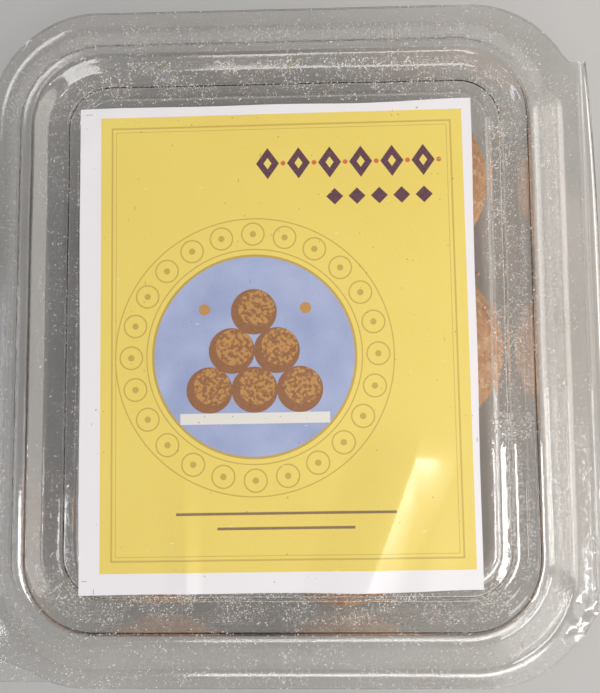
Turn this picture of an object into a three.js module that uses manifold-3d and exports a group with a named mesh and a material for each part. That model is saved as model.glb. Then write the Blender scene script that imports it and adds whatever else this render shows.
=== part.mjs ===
// A clear hinged clamshell box of round peanut sweets, shut, with a paper label on its lid.
// Millimetres, +Z up. The origin is the centre of the floor's underside; the hinge is on the +X
// side and the opening tab is at the front left corner (-X, -Y).

import * as THREE from 'three';
import { mergeVertices } from 'three/addons/utils/BufferGeometryUtils.js';
import Module from 'manifold-3d';

const wasm = await Module();
wasm.setup();

// ---- driving dimensions ------------------------------------------------------------------------

const SHEET = 0.5;                 // thickness of the formed clear plastic
const GAP = 0.3;                   // space kept between two pieces that touch
const BOX_HEIGHT = 42.5;           // underside of the floor to the top of the lid's rim
const RIM_RISE = 8;                // hinge plane to the top of the lid's rim
const PARTING = BOX_HEIGHT - RIM_RISE;
const CORNER_SEGMENTS = 8;         // straight pieces in each corner of a ring

// Where the two flanges end: distances from the middle of the box.
const FLANGE = { left: 68, right: 69.5, half: 78, corner: 25 };

// The lid's upper skin, from the middle out: the raised panel, a ledge, the groove that the dust
// settles in, the flat rim and the sloping skirt. Each ring is a rounded rectangle at a height
// above the hinge plane.
const LID_SKIN = [
  { left: 44.4, right: 47.1, half: 54.3, corner: 6.7, rise: 7.0 },      // edge of the raised panel
  { left: 45.4, right: 48.1, half: 55.3, corner: 7.7, rise: 6.3 },      // ledge, inner side
  { left: 47.7, right: 50.4, half: 57.6, corner: 9.6, rise: 6.3 },      // ledge, outer side
  { left: 48.3, right: 51.0, half: 58.2, corner: 10.2, rise: 5.6 },     // groove, inner side
  { left: 52.4, right: 53.9, half: 61.0, corner: 13.2, rise: 5.6 },     // groove, outer side
  { left: 55.0, right: 55.5, half: 63.8, corner: 15.6, rise: 7.5 },
  { left: 55.6, right: 56.0, half: 64.4, corner: 16.0, rise: RIM_RISE },  // flat rim, inner side
  { left: 57.2, right: 57.4, half: 66.0, corner: 17.4, rise: RIM_RISE },  // flat rim, outer side
  { left: 58.4, right: 58.4, half: 67.0, corner: 18.3, rise: 7.7 },
  { left: 59.4, right: 59.4, half: 68.0, corner: 19.2, rise: 7.0 },     // top of the skirt
  { left: 64.2, right: 64.2, half: 73.7, corner: 22.0, rise: 1.3 },
  { left: 65.2, right: 65.2, half: 74.8, corner: 22.8, rise: SHEET + GAP / 2 },
  { ...FLANGE, rise: SHEET + GAP / 2 },
];
const RIM_START = 7;               // the tray's rim follows the lid's skin from this ring outwards

// The tray's inside: its mouth, and how far the wall leans in on its way to the floor.
const MOUTH = { left: 56.1, right: 56.4, half: 64.9, corner: 15.8 };
const MOUTH_HEIGHT = 40.9;
const WALL_LEAN = 2.8;
const RIM_STEP = 0.45;             // the mouth's edge out to the flat rim's inner edge
const FLOOR_FILLET = 3;
const FILLET_STEPS = 3;

// The fold at the hinge side: one bulging strip on each flange, bowed outwards along its length.
const HINGE = { start: 69.2, reach: 3.8, bulge: 1.45, length: 125, middle: 0.8, steps: 16 };
const HINGE_BOW = 0.34;            // share of the reach that is gone at the strip's two ends
const HINGE_BOW_POWER = 2.5;
const HINGE_ARC_STEPS = 8;

// Where the flanges widen to meet the fold, from its front end to its back end.
const HINGE_ROOT = [
  [60, -60], [61.5, -71.2], [66.3, -66.6], [68, -63.9], [69.5, -62],
  [69.5, 62.6], [68.9, 62.8], [67.6, 63.7], [66.1, 65.4], [60, 60],
];

// The opening tabs at the front left corner: the lid's is squarer than the tray's.
const LID_TAB = { left: 68, front: 76.4, reach: 28, corner: 5 };
const PLATE_OVERLAP = 0.6;         // how far out from the flange's inner edge its plates start
const TRAY_TAB = [[-52.5, -75.6], [-63.2, -71.7], [-67.4, -65.6], [-67.9, -56.5], [-60, -60]];

// The label: a hand-cut sheet, so its four corners are a little out of square.
const LABEL_CORNERS = [[-43.8, -57.0], [43.9, -56.0], [43.6, 52.7], [-44.9, 51.9]];
const LABEL_THICKNESS = 0.25;

// The sweets: where each ball lies, its radius seen from above, and how tall it is for its width.
// They are hand rolled and a little uneven, and the two widest are pressed lower.
const SWEETS = [
  { x: 30.5, y: 39.4, radius: 19.7, tallness: 0.975 },
  { x: 32.5, y: -1.7, radius: 20.4, tallness: 0.955 },
  { x: 14.6, y: -43.0, radius: 19.2, tallness: 1 },
  { x: -30.0, y: -41.6, radius: 19.4, tallness: 0.99 },
  { x: -10.6, y: 38.7, radius: 19.1, tallness: 1 },
  { x: -8.6, y: -1.6, radius: 19.0, tallness: 1 },
];
const SWEET_DETAIL = 6;
const LUMP_COUNT = 34;
const LUMP_HEIGHT = 0.34;
const LUMP_WIDTH = [0.2, 0.42];    // radians
const OVAL = 0.015;                // how far a ball is from round
const REST_DEPTH = 0.35;           // how far a ball's foot is pressed flat

// ---- materials -----------------------------------------------------------------------------------

const clearPlastic = new THREE.MeshStandardMaterial({
  color: 0xdde3e4, roughness: 0.08, metalness: 0, transparent: true, opacity: 0.25,
});
const lidPlastic = clearPlastic.clone();
const paper = new THREE.MeshStandardMaterial({ color: 0xe4d579, roughness: 0.55, metalness: 0 });
const sweetMass = new THREE.MeshStandardMaterial({ color: 0xa9683a, roughness: 0.85, metalness: 0 });

// ---- joining solids ------------------------------------------------------------------------------

/** A closed solid from a geometry, with the vertices that coincide merged. */
function toSolid(geometry) {
  const bare = geometry.clone();
  bare.deleteAttribute('normal');
  bare.deleteAttribute('uv');
  const merged = mergeVertices(bare, 1e-5);
  return new wasm.Manifold(new wasm.Mesh({
    numProp: 3,
    vertProperties: new Float32Array(merged.attributes.position.array),
    triVerts: new Uint32Array(merged.index.array),
  }));
}

/** The geometry of a solid. */
function toGeometry(solid) {
  const { vertProperties, triVerts } = solid.getMesh();
  const geometry = new THREE.BufferGeometry();
  geometry.setAttribute('position', new THREE.BufferAttribute(new Float32Array(vertProperties), 3));
  geometry.setIndex(new THREE.BufferAttribute(new Uint32Array(triVerts), 1));
  geometry.computeVertexNormals();
  return geometry;
}

// ---- formed sheet: rings joined into a shell -------------------------------------------------------

/** The outline of one ring, a rounded rectangle, counter-clockwise seen from above. */
function outline({ left, right, half, corner }) {
  const middles = [
    [right - corner, half - corner],
    [corner - left, half - corner],
    [corner - left, corner - half],
    [right - corner, corner - half],
  ];
  return middles.flatMap(([x, y], turn) => {
    const from = turn * Math.PI / 2;
    const arc = new THREE.EllipseCurve(x, y, corner, corner, from, from + Math.PI / 2);
    return arc.getPoints(CORNER_SEGMENTS);
  });
}

/** How far out a ring is, as one number: used to find the sheet's slope there. */
function reachOf(ring) {
  return (ring.left + ring.right + 2 * ring.half) / 4;
}

/** A ring made larger or smaller all round, and moved up or down. */
function shifted(ring, outwards, up) {
  return {
    left: ring.left + outwards,
    right: ring.right + outwards,
    half: ring.half + outwards,
    corner: ring.corner + outwards,
    z: ring.z + up,
  };
}

/**
 * The rings of the sheet's other side: each is moved square to the sheet by the distance. Inside
 * the first ring and outside the last the sheet is flat.
 */
function offsetRings(rings, distance) {
  const slope = (from, to) => {
    const run = reachOf(to) - reachOf(from);
    const rise = to.z - from.z;
    const length = Math.hypot(run, rise);
    return [run / length, rise / length];
  };
  return rings.map((ring, index) => {
    const before = index > 0 ? slope(rings[index - 1], ring) : [1, 0];
    const after = index < rings.length - 1 ? slope(ring, rings[index + 1]) : [1, 0];
    const sum = [before[0] + after[0], before[1] + after[1]];
    const mitre = 2 / (sum[0] ** 2 + sum[1] ** 2);
    return shifted(ring, sum[1] * mitre * distance, -sum[0] * mitre * distance);
  });
}

/** A closed shell through the rings, the first and last of which are filled across. */
function loft(rings) {
  const positions = [];
  const index = [];
  const loops = rings.map((ring) => outline(ring).map((point) => [point.x, point.y, ring.z]));
  const count = loops[0].length;
  loops.forEach((loop) => loop.forEach((point) => positions.push(...point)));
  for (let ring = 0; ring < loops.length - 1; ring += 1) {
    for (let step = 0; step < count; step += 1) {
      const next = (step + 1) % count;
      const [a, b] = [ring * count + step, ring * count + next];
      const [c, d] = [a + count, b + count];
      index.push(a, c, b, b, c, d);
    }
  }
  const top = positions.length / 3;
  positions.push(0, 0, rings[0].z, 0, 0, rings[rings.length - 1].z);
  const last = (loops.length - 1) * count;
  for (let step = 0; step < count; step += 1) {
    const next = (step + 1) % count;
    index.push(top, step, next, top + 1, last + next, last + step);
  }
  const geometry = new THREE.BufferGeometry();
  geometry.setAttribute('position', new THREE.Float32BufferAttribute(positions, 3));
  geometry.setIndex(index);
  return geometry;
}

/** A shell of even thickness below its upper skin. */
function sheetShell(skin) {
  return loft([...skin, ...offsetRings(skin, SHEET).reverse()]);
}

/** A flat plate of sheet thickness with the given outline, its underside at z. */
function plate(points, z) {
  const shape = new THREE.Shape(points.map(([x, y]) => new THREE.Vector2(x, y)));
  return new THREE.ExtrudeGeometry(shape, { depth: SHEET, bevelEnabled: false }).translate(0, 0, z);
}

// ---- hinge and tabs --------------------------------------------------------------------------------

/** The same geometry with its faces turned over, for one that a move of its vertices mirrored. */
function turnedOver(geometry) {
  const turned = geometry.index ? geometry.toNonIndexed() : geometry.clone();
  const place = turned.attributes.position;
  for (let i = 0; i < place.count; i += 3) {
    const [x, y, z] = [place.getX(i), place.getY(i), place.getZ(i)];
    place.setXYZ(i, place.getX(i + 1), place.getY(i + 1), place.getZ(i + 1));
    place.setXYZ(i + 1, x, y, z);
  }
  return turned;
}

/** The cross-section of a hinge strip: an arch of even thickness. */
function hingeArch() {
  const { reach, bulge } = HINGE;
  const curve = (inset) => Array.from({ length: HINGE_ARC_STEPS + 1 }, (_, step) => {
    const angle = Math.PI * step / HINGE_ARC_STEPS;
    return new THREE.Vector2(
      reach / 2 - (reach / 2 - inset) * Math.cos(angle),
      (bulge - inset) * Math.sin(angle),
    );
  });
  return new THREE.Shape([...curve(0), ...curve(SHEET).reverse()]);
}

/**
 * One half of the folded hinge: a plate at the flange's edge and an arched strip beyond it. The
 * lid's half (side 1) bulges up and the tray's (side -1) down.
 */
function hingeHalf(side) {
  const { start, length, middle, steps } = HINGE;
  const half = length / 2;
  const strip = new THREE.ExtrudeGeometry(hingeArch(), { depth: length, steps, bevelEnabled: false });
  const place = strip.attributes.position;
  for (let i = 0; i < place.count; i += 1) {
    const along = place.getZ(i) - half;
    const kept = 1 - HINGE_BOW * Math.abs(along / half) ** HINGE_BOW_POWER;
    const up = GAP / 2 + place.getY(i) * (1 + kept) / 2;
    place.setXYZ(i, start + place.getX(i) * kept, along + middle, PARTING + side * up);
  }
  const underside = side > 0 ? PARTING + GAP / 2 : PARTING - GAP / 2 - SHEET;
  const arch = toSolid(side > 0 ? turnedOver(strip) : strip);
  return arch.add(flangePlate(HINGE_ROOT, underside));
}

/** A plate that widens a flange, with all that lies inside the flange's inner edge cut away. */
function flangePlate(points, z) {
  const inner = shifted(lidSkin[lidSkin.length - 2], PLATE_OVERLAP, 0);
  const hole = new THREE.Shape(outline(inner));
  const cutter = new THREE.ExtrudeGeometry(hole, { depth: 3 * SHEET, bevelEnabled: false });
  return toSolid(plate(points, z)).subtract(toSolid(cutter.translate(0, 0, z - SHEET)));
}

/** The lid's squared corner, where a finger lifts it. */
function lidTab() {
  const { left, front, reach, corner } = LID_TAB;
  const [x, y] = [corner - left, corner - front];
  const arc = new THREE.EllipseCurve(x, y, corner, corner, Math.PI, 1.5 * Math.PI);
  const points = arc.getPoints(CORNER_SEGMENTS).map((point) => [point.x, point.y]);
  points.push([reach - left, -front], [reach - left, reach - front], [-left, reach - front]);
  return flangePlate(points, PARTING + GAP / 2);
}

/** The tray's smaller corner tab. */
function trayTab() {
  return flangePlate([...TRAY_TAB].reverse(), PARTING - GAP / 2 - SHEET);
}

// ---- the two halves of the box ----------------------------------------------------------------------

const lidSkin = LID_SKIN.map(({ rise, ...ring }) => ({ ...ring, z: PARTING + rise }));

function buildLid() {
  const shell = toSolid(sheetShell(lidSkin));
  return toGeometry(shell.add(lidTab()).add(hingeHalf(1)));
}

/** The tray's upper skin: floor, fillet, leaning wall, then the rim and skirt under the lid's. */
function traySkin() {
  const mouth = { ...MOUTH, z: MOUTH_HEIGHT };
  const foot = shifted(mouth, -WALL_LEAN, SHEET - MOUTH_HEIGHT);
  const rings = [];
  for (let step = 0; step <= FILLET_STEPS; step += 1) {
    const angle = (Math.PI / 2) * step / FILLET_STEPS;
    const inset = FLOOR_FILLET * (1 - Math.sin(angle));
    rings.push(shifted(foot, -inset, FLOOR_FILLET * (1 - Math.cos(angle))));
  }
  const underLid = offsetRings(lidSkin, SHEET + GAP).slice(RIM_START);
  const rimTop = underLid[0].z;
  const rimInner = { ...shifted(mouth, RIM_STEP, 0), z: rimTop };
  const flange = { ...FLANGE, z: PARTING - GAP / 2 };
  const skirtFoot = { ...underLid[underLid.length - 2], z: flange.z };
  return [...rings, mouth, rimInner, ...underLid.slice(0, -2), skirtFoot, flange];
}

function buildTray() {
  const shell = toSolid(sheetShell(traySkin()));
  return toGeometry(shell.add(trayTab()).add(hingeHalf(-1)));
}

// ---- label and sweets --------------------------------------------------------------------------------

function buildLabel() {
  const shape = new THREE.Shape(LABEL_CORNERS.map(([x, y]) => new THREE.Vector2(x, y)));
  const sheet = new THREE.ExtrudeGeometry(shape, { depth: LABEL_THICKNESS, bevelEnabled: false });
  return sheet.translate(0, 0, lidSkin[0].z + GAP);
}

/** Random numbers from 0 to 1, the same ones each run for the same seed. */
function seeded(seed) {
  let state = seed * 2654435761 % 4294967296;
  return () => {
    state = (state * 1664525 + 1013904223) % 4294967296;
    return state / 4294967296;
  };
}

/** A hand-rolled ball: nearly round, lumpy with coarse crumbs, and flat where it rests. */
function buildSweet(radius, tallness, seed) {
  const random = seeded(seed);
  const direction = () => {
    const height = 2 * random() - 1;
    const turn = 2 * Math.PI * random();
    const across = Math.sqrt(1 - height * height);
    return new THREE.Vector3(across * Math.cos(turn), across * Math.sin(turn), height);
  };
  const longAxis = direction();
  const lumps = Array.from({ length: LUMP_COUNT }, () => ({
    at: direction(),
    width: LUMP_WIDTH[0] + (LUMP_WIDTH[1] - LUMP_WIDTH[0]) * random(),
    height: LUMP_HEIGHT * (random() < 0.6 ? 1 : -1),
  }));
  const ball = new THREE.IcosahedronGeometry(1, SWEET_DETAIL);
  ball.deleteAttribute('normal');
  ball.deleteAttribute('uv');
  const geometry = mergeVertices(ball, 1e-4);
  const place = geometry.attributes.position;
  const way = new THREE.Vector3();
  const floor = REST_DEPTH - radius * tallness;
  for (let i = 0; i < place.count; i += 1) {
    way.fromBufferAttribute(place, i).normalize();
    let relief = 0;
    lumps.forEach((lump) => {
      const apart = way.angleTo(lump.at) / lump.width;
      relief += lump.height * Math.exp(-apart * apart);
    });
    relief = THREE.MathUtils.clamp(relief, -LUMP_HEIGHT, LUMP_HEIGHT);
    const size = radius * (1 + OVAL * (way.dot(longAxis) ** 2 - 0.5)) + relief;
    const height = Math.max(way.z * size * tallness, floor);
    place.setXYZ(i, way.x * size, way.y * size, height);
  }
  return geometry.translate(0, 0, -floor);
}

// ---- the box and what is in it ------------------------------------------------------------------------

const group = new THREE.Group();

function addPiece(name, geometry, material) {
  const mesh = new THREE.Mesh(geometry, material);
  mesh.name = name;
  group.add(mesh);
  return mesh;
}

addPiece('tray', buildTray(), clearPlastic);
addPiece('lid', buildLid(), lidPlastic);
addPiece('label', buildLabel(), paper);
SWEETS.forEach(({ x, y, radius, tallness }, number) => {
  const shape = buildSweet(radius, tallness, number + 1);
  const sweet = addPiece(`ladoo_${number + 1}`, shape, sweetMass.clone());
  sweet.position.set(x, y, SHEET + GAP);
});

export default group;
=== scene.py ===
"""The looks of a clear hinged box of peanut sweets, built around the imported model.

Everything is in metres in the model's own frame: +Z up, the hinge on the +X side, the opening tab at
the front left corner (-X, -Y), and the origin under the middle of the tray.
"""

import logging
import math
from dataclasses import dataclass, field
from enum import Enum

import bmesh
import bpy
import numpy as np
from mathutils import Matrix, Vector, noise


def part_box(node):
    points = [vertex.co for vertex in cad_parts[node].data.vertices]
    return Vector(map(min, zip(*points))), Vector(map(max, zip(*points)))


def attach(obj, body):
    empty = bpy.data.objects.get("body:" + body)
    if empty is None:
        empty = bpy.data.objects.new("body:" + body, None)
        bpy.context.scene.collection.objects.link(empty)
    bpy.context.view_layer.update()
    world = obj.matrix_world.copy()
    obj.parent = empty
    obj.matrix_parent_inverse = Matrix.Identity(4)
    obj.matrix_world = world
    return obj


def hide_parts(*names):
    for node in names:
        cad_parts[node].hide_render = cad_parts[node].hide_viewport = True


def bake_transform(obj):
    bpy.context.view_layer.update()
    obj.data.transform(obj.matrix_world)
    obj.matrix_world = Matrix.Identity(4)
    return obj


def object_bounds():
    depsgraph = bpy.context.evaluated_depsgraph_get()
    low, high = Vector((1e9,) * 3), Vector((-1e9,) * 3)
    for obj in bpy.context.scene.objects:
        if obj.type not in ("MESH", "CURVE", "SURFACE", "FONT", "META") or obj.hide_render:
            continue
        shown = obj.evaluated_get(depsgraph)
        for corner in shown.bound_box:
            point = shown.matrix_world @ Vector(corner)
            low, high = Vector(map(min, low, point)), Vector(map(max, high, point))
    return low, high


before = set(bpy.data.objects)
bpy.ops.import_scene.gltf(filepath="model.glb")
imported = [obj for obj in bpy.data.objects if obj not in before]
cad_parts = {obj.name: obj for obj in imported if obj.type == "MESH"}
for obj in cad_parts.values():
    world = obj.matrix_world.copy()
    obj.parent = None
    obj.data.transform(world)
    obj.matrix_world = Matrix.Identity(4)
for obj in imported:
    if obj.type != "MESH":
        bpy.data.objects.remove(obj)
CAD_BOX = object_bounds()

LOG = logging.getLogger("sweet_box")
MM = 0.001
SWEET_COUNT = 6
NOISE_SEED = 1      # without one, noise_vector() takes its offsets from the clock

Socket = bpy.types.NodeSocket
Colour = tuple[float, float, float]
Point = tuple[float, float, float]


class Body(Enum):
    """The two rigid halves of the box."""

    TRAY = "tray"
    LID = "lid"


class Slot(Enum):
    """Names for the material slots."""

    CLEAR = "clear_sheet"
    PAPER = "label_paper"
    SWEET = "ladoo"


class Corner(Enum):
    """The corners of a ring, in the order in which its outline passes them, seen from above."""

    BACK_RIGHT = (1, 1)
    BACK_LEFT = (-1, 1)
    FRONT_LEFT = (-1, -1)
    FRONT_RIGHT = (1, -1)


# ---- shader nodes ------------------------------------------------------------------------------------


class Nodes:
    """One node tree, with short ways to add nodes to it and join them."""

    def __init__(self, tree: bpy.types.NodeTree) -> None:
        """Starts on a tree.

        Args:
            tree: A material's or a group's node tree.
        """
        self.tree = tree

    def add(self, kind: str, **settings: object) -> bpy.types.Node:
        """Adds a node.

        Args:
            kind: The node's type, without its "ShaderNode" prefix.
            settings: Properties to set on it.

        Returns:
            The new node.
        """
        node = self.tree.nodes.new("ShaderNode" + kind)
        for name, value in settings.items():
            setattr(node, name, value)
        return node

    def feed(self, socket: Socket, value: object) -> None:
        """Gives an input its value.

        Args:
            socket: The input.
            value: Another node's output, or a plain number or colour.
        """
        if isinstance(value, Socket):
            self.tree.links.new(value, socket)
        elif isinstance(value, tuple) and len(value) == 3 and len(socket.default_value) == 4:
            socket.default_value = (*value, 1.0)
        else:
            socket.default_value = value

    def math(self, operation: str, first: object, second: object = 0.0) -> Socket:
        """Adds a Math node.

        Args:
            operation: The node's operation.
            first: Its first value.
            second: Its second value.

        Returns:
            The result.
        """
        node = self.add("Math", operation=operation)
        self.feed(node.inputs[0], first)
        self.feed(node.inputs[1], second)
        return node.outputs[0]

    def mix(self, factor: object, first: object, second: object) -> Socket:
        """Mixes two colours.

        Args:
            factor: How much of the second, from 0 to 1.
            first: The first colour.
            second: The second colour.

        Returns:
            The mixed colour.
        """
        node = self.add("Mix", data_type="RGBA")
        self.feed(node.inputs[0], factor)
        self.feed(node.inputs[6], first)
        self.feed(node.inputs[7], second)
        return node.outputs[2]

    def noise(self, place: Socket, size: float, detail: float = 2.0) -> Socket:
        """Adds a noise pattern.

        Args:
            place: The point it is read at, in metres.
            size: How far apart its blotches are, in metres.
            detail: How many finer layers it has.

        Returns:
            A value around 0.5.
        """
        node = self.add("TexNoise")
        self.feed(node.inputs["Vector"], place)
        node.inputs["Scale"].default_value = 1.0 / size
        node.inputs["Detail"].default_value = detail
        return node.outputs[0]

    def spread(self, value: object, low: float, high: float, to: tuple[float, float] = (0.0, 1.0)) -> Socket:
        """Spreads part of a value's range over another range.

        Args:
            value: The value.
            low: What becomes the new range's start.
            high: What becomes the new range's end.
            to: The new range.

        Returns:
            The new value, kept inside the new range.
        """
        node = self.add("MapRange", clamp=True)
        self.feed(node.inputs["Value"], value)
        node.inputs["From Min"].default_value = low
        node.inputs["From Max"].default_value = high
        node.inputs["To Min"].default_value = to[0]
        node.inputs["To Max"].default_value = to[1]
        return node.outputs["Result"]

    def place(self) -> Socket:
        """The point being shaded, in metres in the model's frame at rest."""
        return self.add("TexCoord").outputs["Object"]

    def effect(self, group: bpy.types.NodeTree, **values: object) -> bpy.types.Node:
        """Places a shared effect.

        Args:
            group: The effect's node group.
            values: Its inputs' values, by name.

        Returns:
            The group's node.
        """
        node = self.add("Group")
        node.node_tree = group
        for name, value in values.items():
            self.feed(node.inputs[name], value)
        return node


class Effect(Nodes):
    """A shader node group with named inputs and outputs, which materials share."""

    def __init__(self, name: str, takes: dict[str, float], gives: dict[str, str]) -> None:
        """Makes an empty group.

        Args:
            name: The group's name.
            takes: Its number inputs with their usual values. An input named Place, a point, comes first.
            gives: Its outputs, each with its kind: Float or Color.
        """
        group = bpy.data.node_groups.new(name, "ShaderNodeTree")
        super().__init__(group)
        face = group.interface
        face.new_socket(name="Place", in_out="INPUT", socket_type="NodeSocketVector")
        for title, usual in takes.items():
            socket = face.new_socket(name=title, in_out="INPUT", socket_type="NodeSocketFloat")
            socket.default_value = usual
        for title, kind in gives.items():
            face.new_socket(name=title, in_out="OUTPUT", socket_type="NodeSocket" + kind)
        self.inside = group.nodes.new("NodeGroupInput").outputs
        self.outside = group.nodes.new("NodeGroupOutput").inputs

    def give(self, name: str, value: Socket) -> None:
        """Joins a value to one of the group's outputs."""
        self.tree.links.new(value, self.outside[name])


def smudge_effect() -> bpy.types.NodeTree:
    """Makes the group for handled plastic: smudges, fine scuffs and the sheet's slight unevenness.

    Returns:
        The group, which gives Smudge, from 0 to 1, and Height, in metres.
    """
    takes = {"Smudge Size": 20 * MM, "Scuff Size": 1.2 * MM}
    effect = Effect("Smudges", takes, {"Smudge": "Float", "Height": "Float"})
    place = effect.inside["Place"]
    broad = effect.add("TexNoise")
    fine = effect.add("TexNoise")
    for node, title, detail in ((broad, "Smudge Size", 3.0), (fine, "Scuff Size", 2.0)):
        effect.feed(node.inputs["Vector"], place)
        effect.feed(node.inputs["Scale"], effect.math("DIVIDE", 1.0, effect.inside[title]))
        node.inputs["Detail"].default_value = detail
    patches = effect.spread(broad.outputs[0], 0.42, 0.68)
    scuffs = effect.spread(fine.outputs[0], 0.5, 0.72)
    effect.give("Smudge", effect.math("MULTIPLY", patches, effect.spread(scuffs, 0, 1, (0.45, 1.0))))
    effect.give("Height", effect.math("MULTIPLY", scuffs, 0.02 * MM))
    return effect.tree


def speck_effect() -> bpy.types.NodeTree:
    """Makes the group for small scattered specks.

    Returns:
        The group, which gives Specks: 1 on a speck and 0 beside it.
    """
    effect = Effect("Specks", {"Spacing": 0.002, "Size": 0.08, "Share": 0.3}, {"Specks": "Float"})
    cells = effect.add("TexVoronoi")
    effect.feed(cells.inputs["Vector"], effect.inside["Place"])
    effect.feed(cells.inputs["Scale"], effect.math("DIVIDE", 1.0, effect.inside["Spacing"]))
    split = effect.add("SeparateColor")
    effect.feed(split.inputs[0], cells.outputs["Color"])
    size = effect.math("MULTIPLY", effect.inside["Size"], split.outputs["Green"])
    near = effect.math("LESS_THAN", cells.outputs["Distance"], size)
    chosen = effect.math("LESS_THAN", split.outputs["Red"], effect.inside["Share"])
    effect.give("Specks", effect.math("MULTIPLY", near, chosen))
    return effect.tree


@dataclass(frozen=True)
class PeanutTones:
    """The tones of crushed peanut bound with dark sugar, with a painted shade for its cracks and gaps."""

    body: Colour = (0.66, 0.335, 0.150)
    warm_body: Colour = (0.77, 0.445, 0.230)
    dark: Colour = (0.46, 0.195, 0.075)
    pale: Colour = (0.90, 0.69, 0.44)
    grit: Colour = (0.40, 0.160, 0.060)
    # painted shade, laid into the cracks and the gaps between crumbs
    crevice_shade: Colour = (0.150, 0.045, 0.018)


def crumb_effect() -> bpy.types.NodeTree:
    """Makes the group for crushed peanut: the colour of each crumb, painted shade in cracks and between
    crumbs, and its rough surface.

    Returns:
        The group, which gives Color, Roughness and Height, in metres.
    """
    tones = PeanutTones()
    takes = {"Crumb Size": 1.4 * MM, "Pale Share": 0.2, "Hollow": 0.0}
    effect = Effect("Crushed_Peanut", takes, {"Color": "Color", "Roughness": "Float", "Height": "Float"})
    place = effect.inside["Place"]
    cells = effect.add("TexVoronoi")
    effect.feed(cells.inputs["Vector"], place)
    effect.feed(cells.inputs["Scale"], effect.math("DIVIDE", 1.0, effect.inside["Crumb Size"]))
    split = effect.add("SeparateColor")
    effect.feed(split.inputs[0], cells.outputs["Color"])
    blotches = effect.spread(effect.noise(place, 9 * MM, 3.0), 0.35, 0.66)
    body = effect.mix(blotches, tones.body, tones.warm_body)
    darker = effect.spread(split.outputs["Green"], 0.55, 1.0, (0.0, 0.55))
    body = effect.mix(darker, body, tones.dark)
    pale = effect.math("LESS_THAN", split.outputs["Red"], effect.inside["Pale Share"])
    body = effect.mix(effect.math("MULTIPLY", pale, 0.6), body, tones.pale)
    grit = effect.noise(place, 0.35 * MM, 3.0)
    body = effect.mix(effect.spread(grit, 0.52, 0.75, (0.0, 0.5)), body, tones.grit)
    # Painted shade: the colour turns dark where the point lies in a crack or between crumbs.
    effect.give("Color", effect.mix(effect.inside["Hollow"], body, tones.crevice_shade))
    effect.give("Roughness", effect.spread(split.outputs["Blue"], 0, 1, (0.48, 0.82)))
    domes = effect.spread(cells.outputs["Distance"], 0, 0.7, (0.16 * MM, 0.0))
    effect.give("Height", effect.math("ADD", domes, effect.math("MULTIPLY", grit, 0.12 * MM)))
    return effect.tree


@dataclass(frozen=True)
class SharedEffects:
    """The node groups that the finishes place in their materials."""

    smudges: bpy.types.NodeTree = field(default_factory=smudge_effect)
    specks: bpy.types.NodeTree = field(default_factory=speck_effect)
    crumbs: bpy.types.NodeTree = field(default_factory=crumb_effect)


def new_material(name: str) -> tuple[bpy.types.Material, Nodes, bpy.types.Node, bpy.types.Node]:
    """Makes a material with a Principled shader.

    Args:
        name: The material's name.

    Returns:
        The material, its nodes, its Principled node and its output node.
    """
    material = bpy.data.materials.new(name)
    material.use_nodes = True
    nodes = Nodes(material.node_tree)
    shader = material.node_tree.nodes["Principled BSDF"]
    return material, nodes, shader, material.node_tree.nodes["Material Output"]


def add_relief(nodes: Nodes, shader: bpy.types.Node, height: Socket, strength: float) -> None:
    """Feeds a height in metres to a shader's normal.

    Args:
        nodes: The material's nodes.
        shader: The Principled node.
        height: The height.
        strength: How strongly it shows.
    """
    bump = nodes.add("Bump")
    bump.inputs["Strength"].default_value = strength
    bump.inputs["Distance"].default_value = 1.0
    nodes.feed(bump.inputs["Height"], height)
    nodes.feed(shader.inputs["Normal"], bump.outputs[0])


@dataclass(frozen=True)
class ClearFinish:
    """Clear formed sheet: glossy, faintly grey, with smudges, and hazy where the forming drew it thin."""

    name: str
    tint: Colour = (0.95, 0.94, 0.925)
    smudged_tint: Colour = (0.89, 0.875, 0.855)
    roughness: tuple[float, float] = (0.015, 0.10)
    haze_roughness: float = 0.30
    bend: float = 1.5
    shade: tuple[float, float] = (0.96, 0.62)

    def build(self, effects: SharedEffects) -> bpy.types.Material:
        """Makes the material.

        Args:
            effects: The shared node groups.

        Returns:
            A material that lets the light of the lamps through, so that what is inside is lit.
        """
        material, nodes, shader, output = new_material(self.name)
        smudges = nodes.effect(effects.smudges, Place=nodes.place())
        tint = nodes.mix(smudges.outputs["Smudge"], self.tint, self.smudged_tint)
        nodes.feed(shader.inputs["Base Color"], tint)
        haze = nodes.add("Attribute", attribute_name="haze").outputs["Fac"]
        glossy = nodes.spread(smudges.outputs["Smudge"], 0, 1, self.roughness)
        hazy = nodes.math("MULTIPLY", haze, self.haze_roughness)
        nodes.feed(shader.inputs["Roughness"], nodes.math("ADD", glossy, hazy))
        shader.inputs["Transmission Weight"].default_value = 1.0
        shader.inputs["IOR"].default_value = self.bend
        add_relief(nodes, shader, smudges.outputs["Height"], 0.3)
        clear = nodes.add("BsdfTransparent")
        facing = nodes.add("LayerWeight")
        facing.inputs["Blend"].default_value = 0.5
        tones = [(tone, tone, tone) for tone in self.shade]
        nodes.feed(clear.inputs["Color"], nodes.mix(facing.outputs["Facing"], *tones))
        path = nodes.add("LightPath")
        straight = nodes.math("MAXIMUM", path.outputs["Is Shadow Ray"], path.outputs["Is Diffuse Ray"])
        choice = nodes.add("MixShader")
        nodes.feed(choice.inputs[0], straight)
        nodes.feed(choice.inputs[1], shader.outputs[0])
        nodes.feed(choice.inputs[2], clear.outputs[0])
        nodes.feed(output.inputs["Surface"], choice.outputs[0])
        return material


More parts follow.
